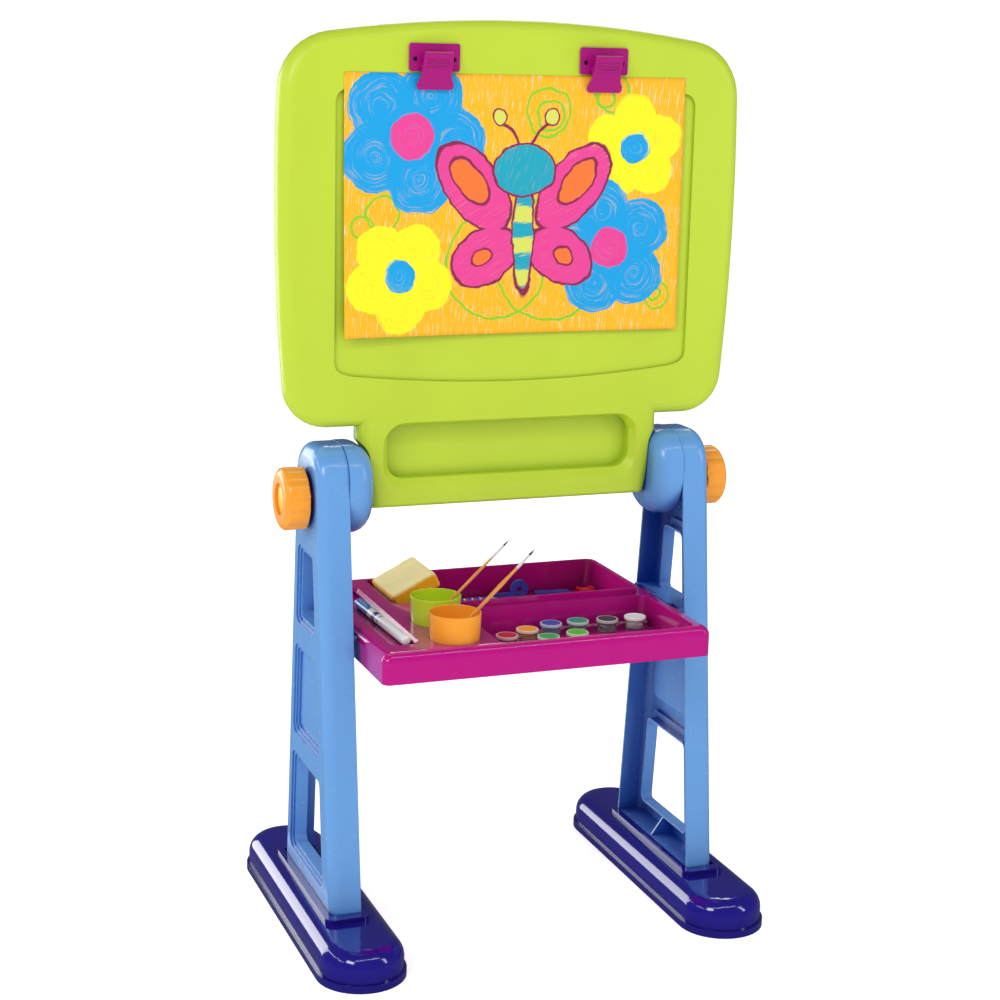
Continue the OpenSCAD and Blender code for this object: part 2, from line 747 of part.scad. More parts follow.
module tray() {
    rim_z = tray_top + rear_rim_h;
    color("#b5128a") difference() {
        union() {
            difference() {
                translate([0, 0, tray_low]) soft_slab(tray_h, 11) polygon(tray_outline($inset));
                translate([0, 0, tray_low - over]) soft_slab(tray_h - tray_t + over, 9)
                    polygon(tray_outline($inset + tray_t));
            }
            plate(pan_outline(front_pan, 10, -tray_t), tray_floor - tray_t, tray_top - 1);
            plate(pan_outline(rear_pan, 12, -rear_rim), tray_floor - tray_t, rim_z);
            plate(pan_outline(slot_pan, 15, -tray_t), tray_top - slot_deep - tray_t, tray_top - 1);
            plate(pan_outline(sponge_pan, 8, -tray_t), tray_top - sponge_deep - tray_t, tray_top - 1);
            for (c = [cup_green_at, cup_orange_at]) translate([c.x, c.y, tray_top - cup_seat - tray_t])
                cylinder(r = cup_base_r + 3, h = cup_seat + tray_t - 1);
            // tongues that rest on the shelves of the legs
            for (s = [-1, 1]) translate([s * (tray_half_w + 8) - 10, tongue.x, shelf_z])
                cube([20, tongue.y - tongue.x, tongue_h]);
        }
        tapered_pan(front_pan, 9, 6, tray_floor, tray_top + over);
        tapered_pan(rear_pan, 9, 5, tray_floor, rim_z + over);
        tapered_pan(slot_pan, 11, 4, tray_top - 4, tray_top + thin);
        plate(pan_outline(slot_pan, 9, 4), tray_top - slot_deep, tray_top);
        plate(pan_outline(sponge_pan, 7, 0), tray_top - sponge_deep, rim_z + over);
        for (c = [cup_green_at, cup_orange_at]) translate([c.x, c.y, tray_top - cup_seat])
            cylinder(r = cup_base_r + 0.6, h = 20);
    }
}

// ---------- things on the tray ----------

module cup(c, tint) {
    z0 = tray_top - cup_seat + gap;
    color(tint) translate([c.x, c.y, z0]) rotate_extrude($fn = 96) polygon(concat(
        [[0, 1.2], [cup_base_r - 2.5, 1.2], [cup_base_r - 3, 0], [cup_base_r - 1, 0], [cup_base_r, 1]],
        arc([cup_r - cup_t / 2, cup_h - cup_t / 2], cup_t / 2, 0, 180, 8),
        [[cup_base_r - cup_t, 2.8], [0, 2.8]]));
}
module cup_green() { cup(cup_green_at, "#bcdc30"); }
module cup_orange() { cup(cup_orange_at, "#f9a63a"); }

// A brush from its blunt end to a point further along it, its width factor and its length
ferrule_at = 115;
bristle_at = 138;
thin_brush = [[-120.2, -56.2, 378], [0.4, -11.9, 463.5], 0.9, 153];
thick_brush = [[-121.8, -130.8, 378], [4.5, -85.4, 470], 1.1, 161];
module brush_handle(b) {
    z1 = ferrule_at + b[3] - 150;
    color("#eda65a") along(b[0], b[1]) rotate_extrude($fn = 24) polygon(concat(
        [[0, 0], [0.6, 0.2]],
        [for (i = [0:10]) [b[2] * (1.2 + 1.1 * pow(sin(90 * i / 10), 2)), 1.2 + (z1 - 25) * i / 10]],
        [for (i = [1:4]) [b[2] * (2.3 - 0.7 * sin(22.5 * i)), z1 - 23.8 + 23.8 * i / 4]],
        [[0, z1]]));
}
module brush_ferrule(b) {
    z1 = ferrule_at + b[3] - 150 + thin;
    z2 = bristle_at + b[3] - 150;
    color("silver") along(b[0], b[1]) rotate_extrude($fn = 24) polygon([[0, z1], [1.75 * b[2], z1],
        [1.75 * b[2], z1 + 9], [1.45 * b[2], z1 + 10], [1.45 * b[2], z2], [0, z2]]);
}
module brush_bristles(b) {
    z2 = bristle_at + b[3] - 150 + thin;
    color("#3a2418") along(b[0], b[1]) rotate_extrude($fn = 24) polygon([[0, z2], [1.3 * b[2], z2],
        [1.6 * b[2], z2 + 4], [1.3 * b[2], z2 + 8], [0.5 * b[2], z2 + 11], [0, z2 + 12]]);
}
module thick_brush_handle() { brush_handle(thick_brush); }
module thick_brush_ferrule() { brush_ferrule(thick_brush); }
module thick_brush_bristles() { brush_bristles(thick_brush); }
module thin_brush_handle() { brush_handle(thin_brush); }
module thin_brush_ferrule() { brush_ferrule(thin_brush); }
module thin_brush_bristles() { brush_bristles(thin_brush); }

marker_r = 6;
marker_len = 173;
marker_cap_len = 48;
marker_at = [-165.8, 69.4, tray_top - slot_deep + marker_r + 0.3];
module on_marker() {
    translate(marker_at) rotate([0, 0, 2]) rotate([90, 0, 0]) children();
}
module marker_barrel() {
    color("white") on_marker() rotate_extrude($fn = 40) polygon(concat(
        [[0, marker_cap_len - 14], [marker_r - 1.95, marker_cap_len - 14],
         [marker_r - 1.95, marker_cap_len + 0.3], [marker_r, marker_cap_len + 0.3]],
        arc([marker_r - 5, marker_len - 5], 5, 0, 90, 6), [[0, marker_len]]));
}
module marker_cap() {
    color("#2a86c4") on_marker() {
        rotate_extrude($fn = 40) polygon([[0, 0], [marker_r - 1.6, 0], [marker_r - 0.6, 1],
            [marker_r, marker_cap_len], [marker_r - 1.9, marker_cap_len],
            [marker_r - 1.9, marker_cap_len - 17], [0, marker_cap_len - 17]]);
        translate([-1.4, marker_r - 1, 6]) cube([2.8, 2.4, 34]);
    }
}

// Bath sponge, lying askew on the rim of the rear compartment
sponge_size = [64, 90, 22];
sponge_at = [-94.5, 101, 386.1];
module sponge() {
    color("#fbc878") translate(sponge_at) rotate([0, -27, 0]) translate(-sponge_size / 2)
        plate(box_outline([0, 0], [sponge_size.x, sponge_size.y], 4), 0, sponge_size.z);
}

// Open pots with a tab each, linked in a row by strips
pot_z = tray_floor + 0.4;
pot_wall = 1.2;
module pots(row) {
    color("#e8ecee") difference() {
        union() {
            for (p = row) translate([p.x, p.y, pot_z]) {
                cylinder(r = pot_r - 0.4, h = pot_h);
                translate([0, 0, pot_h - 2.5]) cylinder(r = pot_r, h = 2.5);
                translate([0, 0, pot_h - 2.2]) rotate(-45) translate([pot_r - 2, -2.5, 0])
                    cube([6, 5, 1.6]);
            }
            for (k = [0:len(row) - 2]) let (v = row[k + 1] - row[k])
                translate([row[k].x, row[k].y, pot_z + pot_h - 4]) rotate(atan2(v.y, v.x))
                    translate([pot_r - 2, -3, 0]) cube([norm(v) - 2 * pot_r + 4, 6, 1.2]);
        }
        for (p = row) translate([p.x, p.y, pot_z + pot_wall])
            cylinder(r = pot_r - pot_wall, h = pot_h);
    }
}
module lid(p, tint) {
    color(tint) translate([p.x, p.y, pot_z + pot_h + 0.1]) rotate_extrude($fn = 48) polygon(concat(
        [[0, 0], [pot_r - 1.6, 0], [pot_r - 1.4, -2], [pot_r - 1.3, -2], [pot_r - 1.2, 0],
         [lid_r - 0.6, 0], [lid_r, 0.6]],
        arc([lid_r - 0.8, lid_h - 0.8], 0.8, 0, 90, 3),
        [[lid_r - 2, lid_h], [lid_r - 2.6, lid_h - 0.8], [0, lid_h - 0.8]]));
}
module paint_pots_row() { pots(pot_row); }
module paint_pots_pair() { pots(pot_pair); }
module lid_red() { lid(pot_row[0], "#d3183c"); }
module lid_yellow() { lid(pot_row[1], "#f7a62c"); }
module lid_blue() { lid(pot_row[2], "#1f5fb8"); }
module lid_teal() { lid(pot_row[3], "#0f9c80"); }
module lid_black() { lid(pot_row[4], "#40484c"); }
module lid_white() { lid(pot_row[5], "#f2f2f2"); }
module lid_green() { lid(pot_pair[0], "#3fae6a"); }
module lid_lime() { lid(pot_pair[1], "#54c23c"); }

// A six-sided stick with a pointed end, lying along X
module stick(r, len, point) {
    rotate([0, 90, 0]) {
        cylinder(r = r, h = len - point, $fn = 6);
        translate([0, 0, len - point - thin]) cylinder(r1 = r * 0.85, r2 = 0.6, h = point, $fn = 24);
    }
}
module pencil() {
    color("#4460c8") translate([-56, 124, tray_floor + 4.4]) rotate([0, 0, -1]) stick(3.6, 96, 12);
}
module crayon() {
    color("#3b3fae") translate([92, 131, tray_floor + 5]) rotate([0, 90, -10]) {
        cylinder(r = 4.2, h = 44);
        translate([0, 0, 44 - thin]) cylinder(r1 = 3.4, r2 = 1.2, h = 8);
    }
}

// Flat modelling tool that stands on its edge, with an eye in its round end
module shaping_tool() {
    eye = [0, 12];
    color("#3a47b6") translate([71, 135, tray_floor + 0.5]) rotate([90, 0, 0]) difference() {
        union() {
            translate(eye) cylinder(r = 12, h = 6);
            translate([-40, 0, 0]) cube([40, 8, 6]);
            translate([-6, 0, 0]) cube([12, 5, 6]);
        }
        translate([eye.x, eye.y, -over]) cylinder(r = 3.8, h = 8);
    }
}

// Small wedge sharpener with one hole
module sharpener() {
    color("#d81e2c") translate([147, 118, tray_floor + 0.5]) difference() {
        rotate([90, 0, 0]) translate([0, 0, -7]) linear_extrude(14)
            polygon([[0, 0], [24, 0], [22, 11.5], [2, 11.5]]);
        translate([-1, 0, 5.6]) rotate([0, 90, 0]) cylinder(r = 3.7, h = 20);
        translate([4, -8, 9.5]) cube([14, 16, 6]);
    }
}

foot_left();
foot_right();
foot_screws();
leg_left();
leg_right();
hub_cap_left();
hub_cap_right();
washer_left();
washer_right();
tray();
knob_left();
knob_right();
knob_disc_left();
knob_disc_right();
pivot_bolt_left();
pivot_bolt_right();
nut_insert_left();
nut_insert_right();
board_front();
board_back();
board_screws();
clip_base_left();
clip_base_right();
clip_lever_left();
clip_lever_right();
clip_pins();
clip_spring_left();
clip_spring_right();
clip_screws();
paper_sheet();
cup_green();
cup_orange();
thick_brush_handle();
thick_brush_ferrule();
thick_brush_bristles();
thin_brush_handle();
thin_brush_ferrule();
thin_brush_bristles();
marker_barrel();
marker_cap();
sponge();
paint_pots_row();
paint_pots_pair();
lid_red();
lid_yellow();
lid_blue();
lid_teal();
lid_black();
lid_white();
lid_green();
lid_lime();
pencil();
crayon();
shaping_tool();
sharpener();
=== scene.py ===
"""Looks of a children's easel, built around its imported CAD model."""
import json
import math
import random

import bmesh
import bpy
from mathutils import Euler, Matrix, Vector, noise


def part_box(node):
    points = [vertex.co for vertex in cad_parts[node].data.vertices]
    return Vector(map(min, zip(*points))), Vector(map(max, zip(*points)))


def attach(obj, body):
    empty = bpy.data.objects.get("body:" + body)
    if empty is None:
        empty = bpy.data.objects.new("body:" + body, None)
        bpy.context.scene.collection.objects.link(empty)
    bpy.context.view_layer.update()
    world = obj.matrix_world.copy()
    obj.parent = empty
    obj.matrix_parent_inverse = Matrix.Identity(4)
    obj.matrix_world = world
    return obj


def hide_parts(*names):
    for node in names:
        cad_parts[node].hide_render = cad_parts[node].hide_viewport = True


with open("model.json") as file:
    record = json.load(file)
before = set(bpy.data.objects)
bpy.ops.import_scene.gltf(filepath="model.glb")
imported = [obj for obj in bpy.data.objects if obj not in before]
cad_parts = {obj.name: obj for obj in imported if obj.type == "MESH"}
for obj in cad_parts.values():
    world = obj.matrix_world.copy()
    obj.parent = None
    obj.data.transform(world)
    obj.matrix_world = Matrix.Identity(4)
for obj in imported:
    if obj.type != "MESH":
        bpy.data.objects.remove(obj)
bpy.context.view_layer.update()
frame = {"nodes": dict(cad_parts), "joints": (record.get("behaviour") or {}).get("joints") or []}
nodes = frame["nodes"]
MM = 0.001


# ---------- camera, stage and light ----------

CAMERA_AT = Vector((-0.8492, -2.1633, 1.0324))
CAMERA_YAW, CAMERA_PITCH, CAMERA_ROLL = 21.21, 12.7, 1.39
CAMERA_LENS = 70.99

SKY_SEEN, SKY_DIFFUSE, SKY_IN_GLOSS = 1.05, 0.56, 0.07
FLOOR_GLOW, FLOOR_GLOW_IN_GLOSS = 0.54, 0.02

# name, place, target, size, power
LIGHTS = (
    ("key", (-1.9, -1.5, 2.1), (0, 0, 0.6), (0.9, 0.9), 19),
    ("left_strip", (-1.9, 0.5, 1.5), (0, 0, 0.5), (2.8, 0.06), 5),
    ("left_back", (-1.5, 2.3, 0.7), (-0.2, 0, 0.5), (1.3, 1.8), 26),
    ("rear", (0.9, 1.8, 2.0), (0, 0, 0.6), (1.2, 0.4), 7),
    ("front_strip", (0.1, -1.3, 2.3), (0, -0.1, 0.6), (2.4, 0.08), 6),
    ("right_strip", (1.7, -1.5, 1.3), (0.1, 0, 0.6), (0.3, 1.4), 6),
)


def make_camera():
    yaw, pitch, roll = (math.radians(a) for a in (CAMERA_YAW, CAMERA_PITCH, CAMERA_ROLL))
    ahead = Vector((math.sin(yaw) * math.cos(pitch), math.cos(yaw) * math.cos(pitch), -math.sin(pitch)))
    side = Vector((math.cos(yaw), -math.sin(yaw), 0))
    up = side.cross(ahead)
    right = side * math.cos(roll) + up * math.sin(roll)
    top = up * math.cos(roll) - side * math.sin(roll)
    data = bpy.data.cameras.new("camera")
    data.sensor_width = 36
    data.lens = CAMERA_LENS
    camera = bpy.data.objects.new("camera", data)
    bpy.context.scene.collection.objects.link(camera)
    camera.matrix_world = Matrix.LocRotScale(
        CAMERA_AT, Matrix((right, top, -ahead)).transposed(), None)
    bpy.context.scene.camera = camera


def area_light(name, place, target, size, power):
    data = bpy.data.lights.new(name, "AREA")
    data.shape = "RECTANGLE"
    data.size, data.size_y = size
    data.energy = power
    lamp = bpy.data.objects.new(name, data)
    lamp.location = place
    lamp.rotation_euler = (Vector(target) - lamp.location).to_track_quat("-Z", "Y").to_euler()
    lamp.visible_camera = False
    bpy.context.scene.collection.objects.link(lamp)


def make_studio():
    """White surroundings that are dimmer as light and almost dark in reflections."""
    scene = bpy.context.scene
    scene.view_settings.view_transform = "Standard"
    world = bpy.data.worlds.new("studio")
    scene.world = world
    world.use_nodes = True
    tree = world.node_tree
    sky = tree.nodes["Background"]
    sky.inputs["Color"].default_value = (1, 1, 1, 1)
    path = tree.nodes.new("ShaderNodeLightPath")
    gloss = tree.nodes.new("ShaderNodeMix")
    gloss.inputs[2].default_value, gloss.inputs[3].default_value = SKY_DIFFUSE, SKY_IN_GLOSS
    tree.links.new(path.outputs["Is Glossy Ray"], gloss.inputs[0])
    seen = tree.nodes.new("ShaderNodeMix")
    seen.inputs[3].default_value = SKY_SEEN
    tree.links.new(path.outputs["Is Camera Ray"], seen.inputs[0])
    tree.links.new(gloss.outputs[0], seen.inputs[2])
    tree.links.new(seen.outputs[0], sky.inputs["Strength"])
    for light in LIGHTS:
        area_light(*light)
    bpy.ops.mesh.primitive_plane_add(size=60)
    floor = bpy.context.object
    floor.name = "floor"
    g = Graph("floor_white")
    gloss = g.add("ShaderNodeLightPath", {}, "Is Glossy Ray")
    floor.data.materials.append(g.finish(
        Base_Color=g.mix(gloss, (0.9, 0.9, 0.9), (0.1, 0.1, 0.1)), Roughness=1.0, Specular_IOR_Level=0.0,
        Emission_Color=(1, 1, 1), Emission_Strength=g.between(gloss, 0, 1, FLOOR_GLOW, FLOOR_GLOW_IN_GLOSS)))


# ---------- node helpers ----------

def srgb(r, g, b):
    """Linear colour of an sRGB colour given from 0 to 255."""
    def linear(v):
        v /= 255
        return v / 12.92 if v <= 0.04045 else ((v + 0.055) / 1.055) ** 2.4
    return (linear(r), linear(g), linear(b))


class Graph:
    """Adds nodes to a material and links them in one call each."""

    def __init__(self, name):
        self.material = bpy.data.materials.new(name)
        self.material.use_nodes = True
        self.tree = self.material.node_tree
        self.shader = self.tree.nodes["Principled BSDF"]

    def put(self, socket, value):
        if isinstance(value, bpy.types.NodeSocket):
            self.tree.links.new(value, socket)
        elif isinstance(value, (tuple, list, Vector)) and len(value) == 3 and len(socket.default_value) == 4:
            socket.default_value = (*value, 1)
        else:
            socket.default_value = value

    def add(self, kind, inputs, output=0, **settings):
        node = self.tree.nodes.new(kind)
        for key, value in settings.items():
            setattr(node, key, value)
        for key, value in inputs.items():
            self.put(node.inputs[key], value)
        return node.outputs[output]

    def math(self, operation, a, b=0.0):
        return self.add("ShaderNodeMath", {0: a, 1: b}, operation=operation)

    def place(self):
        return self.add("ShaderNodeTexCoord", {}, "Object")

    def noise(self, where, scale, detail=2.0, roughness=0.5, output="Fac"):
        return self.add("ShaderNodeTexNoise", {"Vector": where, "Scale": scale, "Detail": detail,
                                               "Roughness": roughness}, output)

    def mapped(self, where, location=(0, 0, 0), rotation=(0, 0, 0), scale=(1, 1, 1), kind="POINT"):
        return self.add("ShaderNodeMapping", {"Vector": where, "Location": location, "Rotation": rotation,
                                              "Scale": scale}, vector_type=kind)

    def between(self, value, low, high, out_low=0.0, out_high=1.0):
        return self.add("ShaderNodeMapRange", {"Value": value, "From Min": low, "From Max": high,
                                               "To Min": out_low, "To Max": out_high}, clamp=True)

    def mix(self, fac, a, b, blend="MIX"):
        node = self.tree.nodes.new("ShaderNodeMix")
        node.data_type, node.blend_type = "RGBA", blend
        self.put(node.inputs[0], fac)
        self.put(node.inputs[6], a)
        self.put(node.inputs[7], b)
        return node.outputs[2]

    def scaled(self, colour, factor):
        """A colour with all its channels multiplied by one number."""
        grey = self.add("ShaderNodeCombineColor", {0: factor, 1: factor, 2: factor})
        return self.mix(1.0, colour, grey, "MULTIPLY")

    def along(self, axis):
        """One coordinate of the place on the object: 0, 1 or 2."""
        return self.add("ShaderNodeSeparateXYZ", {0: self.place()}, axis)

    def steps(self, fac, stops):
        """Bands of plain colour, each from its own position on."""
        node = self.tree.nodes.new("ShaderNodeValToRGB")
        node.color_ramp.interpolation = "CONSTANT"
        while len(node.color_ramp.elements) < len(stops):
            node.color_ramp.elements.new(0.5)
        for element, (at, colour) in zip(node.color_ramp.elements, stops):
            element.position = at
            element.color = (*colour, 1)
        self.put(node.inputs[0], fac)
        return node.outputs[0]

    def bump(self, height, strength, distance, normal=None):
        inputs = {"Height": height, "Strength": strength, "Distance": distance}
        if normal is not None:
            inputs["Normal"] = normal
        return self.add("ShaderNodeBump", inputs)

    def finish(self, **inputs):
        for key, value in inputs.items():
            self.put(self.shader.inputs[key.replace("_", " ")], value)
        return self.material


SOFT_EDGE = 0.8 * MM


def plastic(name, colour, roughness=0.35, coat=0.0, painted_shade=None, reach=0.06, grain=0.1):
    """Moulded plastic: soft edges, a fine grain, faint flow marks, and painted shade in hollows, where
    ambient occlusion darkens the colour.
    """
    g = Graph(name)
    where = g.place()
    flow = g.noise(g.mapped(where, scale=(1, 1, 0.35)), 9, 2, 0.5)
    light = g.between(flow, 0.3, 0.7, 0.97, 1.03)
    base = g.scaled(colour, light)
    # painted shade: where ambient occlusion finds nearby surfaces, the colour turns to the darker shade
    # colour
    if painted_shade:
        open_sky = g.add("ShaderNodeAmbientOcclusion", {"Distance": reach}, "AO", samples=12)
        base = g.mix(g.between(open_sky, 0.15, 0.8), painted_shade, base)
    scuff = g.noise(where, 40, 3, 0.6)
    rough = g.between(scuff, 0.35, 0.75, roughness - 0.02, roughness + 0.03)
    soft = g.add("ShaderNodeBevel", {"Radius": SOFT_EDGE}, samples=4)
    normal = g.bump(g.noise(where, 900, 2, 0.5), grain, 0.0001, soft)
    return g.finish(Base_Color=base, Roughness=rough, Normal=normal, Coat_Weight=coat, Coat_Roughness=0.08,
                    Specular_IOR_Level=0.5)


def clear_plastic(name):
    g = Graph(name)
    return g.finish(Base_Color=(0.97, 0.98, 0.98), Roughness=0.08, Transmission_Weight=0.92, IOR=1.4,
                    Normal=g.bump(g.noise(g.place(), 300, 2, 0.5), 0.1, 0.0001))


def metal(name, colour, roughness, brushed=0.3, shine=1.0):
    g = Graph(name)
    where = g.place()
    scratches = g.noise(g.mapped(where, scale=(60, 1500, 1500)), 1, 3, 0.6)
    rough = g.between(scratches, 0.3, 0.7, roughness * 0.8, roughness * 1.25)
    return g.finish(Base_Color=colour, Metallic=shine, Roughness=rough,
                    Normal=g.bump(scratches, brushed, 0.00005))


def rubber(name):
    g = Graph(name)
    return g.finish(Base_Color=(0.03, 0.03, 0.032), Roughness=0.75,
                    Normal=g.bump(g.noise(g.place(), 1200, 2), 0.4, 0.0001))


def wood(name, colour, dark, along):
    """Varnished wood with its grain along one direction."""
    g = Graph(name)
    turn = along.to_track_quat("X", "Z").inverted().to_euler()
    local = g.mapped(g.mapped(g.place(), rotation=tuple(turn)), scale=(40, 900, 900))
    rings = g.noise(local, 1, 4, 0.65)
    base = g.mix(g.between(rings, 0.35, 0.7), colour, dark)
    return g.finish(Base_Color=base, Roughness=0.3, Coat_Weight=0.4, Coat_Roughness=0.12,
                    Normal=g.bump(rings, 0.25, 0.0001))


# ---------- smooth shading of the CAD nodes ----------

SHARP_ANGLE = 32
WELD_DISTANCE = 2e-6


def smoothing_group():
    """Geometry nodes: smooth faces, with edges over an angle kept sharp."""
    group = bpy.data.node_groups.new("smooth_by_angle", "GeometryNodeTree")
    group.interface.new_socket("Geometry", in_out="INPUT", socket_type="NodeSocketGeometry")
    group.interface.new_socket("Geometry", in_out="OUTPUT", socket_type="NodeSocketGeometry")
    source = group.nodes.new("NodeGroupInput")
    sink = group.nodes.new("NodeGroupOutput")
    faces = group.nodes.new("GeometryNodeSetShadeSmooth")
    edges = group.nodes.new("GeometryNodeSetShadeSmooth")
    edges.domain = "EDGE"
    edges.inputs["Shade Smooth"].default_value = False
    angle = group.nodes.new("GeometryNodeInputMeshEdgeAngle")
    sharp = group.nodes.new("FunctionNodeCompare")
    sharp.inputs[1].default_value = math.radians(SHARP_ANGLE)
    group.links.new(source.outputs[0], faces.inputs["Geometry"])
    group.links.new(faces.outputs[0], edges.inputs["Geometry"])
    group.links.new(angle.outputs[0], sharp.inputs[0])
    group.links.new(sharp.outputs[0], edges.inputs["Selection"])
    group.links.new(edges.outputs[0], sink.inputs[0])
    return group


def smooth_cad(group):
    for part in nodes.values():
        bpy.context.view_layer.objects.active = part
        if part.data.has_custom_normals:
            bpy.ops.mesh.customdata_custom_splitnormals_clear()
        part.data.polygons.foreach_set("use_smooth", [True] * len(part.data.polygons))
        weld = part.modifiers.new("weld", "WELD")
        weld.merge_threshold = WELD_DISTANCE
        part.modifiers.new("smooth", "NODES").node_group = group
        normals = part.modifiers.new("normals", "WEIGHTED_NORMAL")
        normals.keep_sharp = True


# ---------- pieces ----------

def new_piece(name, mesh, material, body, replaced=()):
    piece = bpy.data.objects.new(name, mesh)
    bpy.context.scene.collection.objects.link(piece)
    mesh.materials.append(material)
    mesh.polygons.foreach_set("use_smooth", [True] * len(mesh.polygons))
    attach(piece, body)
    if replaced:
        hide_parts(*replaced)
    return piece


def mesh_from(name, bm):
    mesh = bpy.data.meshes.new(name)
    bmesh.ops.recalc_face_normals(bm, faces=bm.faces)
    bm.to_mesh(mesh)
    bm.free()
    return mesh


PAPER_LIFT = 7 * MM
PAPER_THICK = 0.35 * MM


def paper_mesh():
    """The sheet, flat under the clips, with its lower left corner curling off the board."""
    low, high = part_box("paper_sheet")
    across, down = 70, 50
    bm = bmesh.new()
    rows = []
    for j in range(down + 1):
        row = []
        for i in range(across + 1):
            u, v = i / across, j / down
            corner = max(0.0, 1 - math.hypot(u * 1.5, v * 1.1) / 0.9)
            wave = 0.5 + 0.5 * math.sin(2.3 * u * math.pi + 0.6)
            lift = PAPER_LIFT * corner ** 2 + 0.9 * MM * wave * (1 - v) ** 2
            row.append((low.x + (high.x - low.x) * u, low.y - lift, low.z + (high.z - low.z) * v))
        rows.append(row)
    faces = {}
    for depth in (0, PAPER_THICK):
        for j, row in enumerate(rows):
            for i, (x, y, z) in enumerate(row):
                faces[i, j, depth] = bm.verts.new((x, y + depth, z))
    for j in range(down):
        for i in range(across):
            for depth in (0, PAPER_THICK):
                bm.faces.new([faces[i, j, depth], faces[i + 1, j, depth],
                              faces[i + 1, j + 1, depth], faces[i, j + 1, depth]])
    border = ([(i, 0) for i in range(across)] + [(across, j) for j in range(down)]
              + [(i, down) for i in range(across, 0, -1)] + [(0, j) for j in range(down, 0, -1)])
    for a, b in zip(border, border[1:] + border[:1]):
        bm.faces.new([faces[(*a, 0)], faces[(*b, 0)], faces[(*b, PAPER_THICK)], faces[(*a, PAPER_THICK)]])
    return mesh_from("drawing_paper", bm)


class Crayon(Graph):
    """A crayon drawing: plain shapes on coloured paper, in centimetres from the sheet's lower left."""

    def __init__(self, name, corner, paper):
        super().__init__(name)
        flat = self.mapped(self.place(), rotation=(math.radians(-90), 0, 0))
        flat = self.mapped(flat, location=(-corner.x * 100, -corner.z * 100, 0), scale=(100, 100, 0))
        shake = self.noise(flat, 0.5, 2, 0.5, "Color")
        shake = self.add("ShaderNodeVectorMath", {0: shake, 1: (0.5, 0.5, 0.5)}, operation="SUBTRACT")
        shake = self.add("ShaderNodeVectorMath", {0: shake, 1: (0.9, 0.9, 0)}, operation="MULTIPLY")
        self.flat = flat
        self.at = self.add("ShaderNodeVectorMath", {0: flat, 1: shake}, operation="ADD")
        self.colour = paper

    def ellipse(self, centre, radii, turn=0.0):
        """How far a point is inside an ellipse, in centimetres."""
        local = self.mapped(self.at, location=(*centre, 0), rotation=(0, 0, math.radians(turn)),
                            scale=(*radii, 1), kind="TEXTURE")
        away = self.add("ShaderNodeVectorMath", {0: local}, "Value", operation="LENGTH")
        return self.math("MULTIPLY", self.math("SUBTRACT", 1.0, away), min(radii))

    def circle(self, centre, radius):
        away = self.add("ShaderNodeVectorMath", {0: self.at, 1: (*centre, 0)}, "Value", operation="DISTANCE")
        return self.math("SUBTRACT", radius, away)

    def joined(self, shapes):
        field = shapes[0]
        for shape in shapes[1:]:
            field = self.math("MAXIMUM", field, shape)
        return field

    def strokes(self, turn, scale=1.0):
        """Waxy streaks in one direction, from 0 to 1."""
        local = self.mapped(self.mapped(self.flat, rotation=(0, 0, math.radians(turn))),
                            scale=(5.5 * scale, 0.28 * scale, 1))
        return self.noise(local, 1.0, 4, 0.7)

    def fill(self, field, colour, turn=0.0, cover=0.75, round_strokes=False):
        """Lays a colour inside a shape, thin where the strokes leave the paper bare."""
        strokes = self.strokes(turn)
        if round_strokes:
            drift = self.mapped(self.flat, scale=(0.3, 0.3, 1))
            ring = self.add("ShaderNodeCombineXYZ", {2: self.math("MULTIPLY", field, 5.0)})
            where = self.add("ShaderNodeVectorMath", {0: drift, 1: ring}, operation="ADD")
            strokes = self.noise(where, 1, 3, 0.6)
        streak = self.between(strokes, 0.34, 0.46, cover, 1.0)
        edge = self.math("ADD", field, self.between(strokes, 0.3, 0.7, -0.25, 0.2))
        mask = self.math("MULTIPLY", self.between(edge, -0.06, 0.08), streak)
        self.colour = self.mix(mask, self.colour, colour)

    def line(self, field, colour, width=0.16):
        near = self.math("ABSOLUTE", field)
        self.colour = self.mix(self.between(near, width + 0.05, width - 0.05), self.colour, colour)

    def flower(self, centre, size, petal, heart, turn=0.0):
        """Five round petals and a round heart."""
        for k in range(5):
            a = math.radians(turn + 72 * k)
            spot = Vector(centre) + Vector((math.cos(a), math.sin(a))) * size * 0.62
            self.fill(self.circle(tuple(spot), size * 0.5), petal, 0, 0.72, True)
        self.fill(self.circle(centre, size * 0.45), petal, turn, 0.9)
        self.fill(self.circle(centre, size * 0.33), heart, 0, 0.85, True)

    def curl(self, centre, radius, colour):
        """A ring drawn as one line."""
        ring = self.math("ABSOLUTE", self.circle(centre, radius))
        self.colour = self.mix(self.between(ring, 0.22, 0.1), self.colour, colour)


PAPER_YELLOW = srgb(255, 184, 24)
SUN_YELLOW = srgb(255, 240, 30)
SKY_BLUE = srgb(10, 160, 226)
ROSE = srgb(232, 66, 150)
LEAF = srgb(140, 205, 45)
PLUM = srgb(140, 35, 80)
TANGERINE = srgb(245, 120, 50)
LAGOON = srgb(20, 165, 190)
LEMON_LIME = srgb(215, 222, 95)

# centre and radius of each curl; centre, size, petals, heart and turn of each flower
CURLS = (((24.6, 25.6), 2.7), ((24.9, 25.2), 1.7), ((32.6, 27.8), 2.2), ((31.8, 27.2), 1.1),
         ((18.5, 8.0), 6.2), ((25.5, 8.6), 7.2), ((39.2, 4.2), 1.6), ((38.9, 4.4), 0.8),
         ((4.5, 14.0), 2.0), ((2.2, 12.4), 1.3))
FLOWERS = (((8.0, 22.7), 8.0, SKY_BLUE, ROSE, 65), ((35.7, 21.6), 5.6, SUN_YELLOW, SKY_BLUE, 20),
           ((32.8, 9.8), 7.3, SKY_BLUE, ROSE, 30), ((6.6, 6.9), 5.9, SUN_YELLOW, SKY_BLUE, 55))


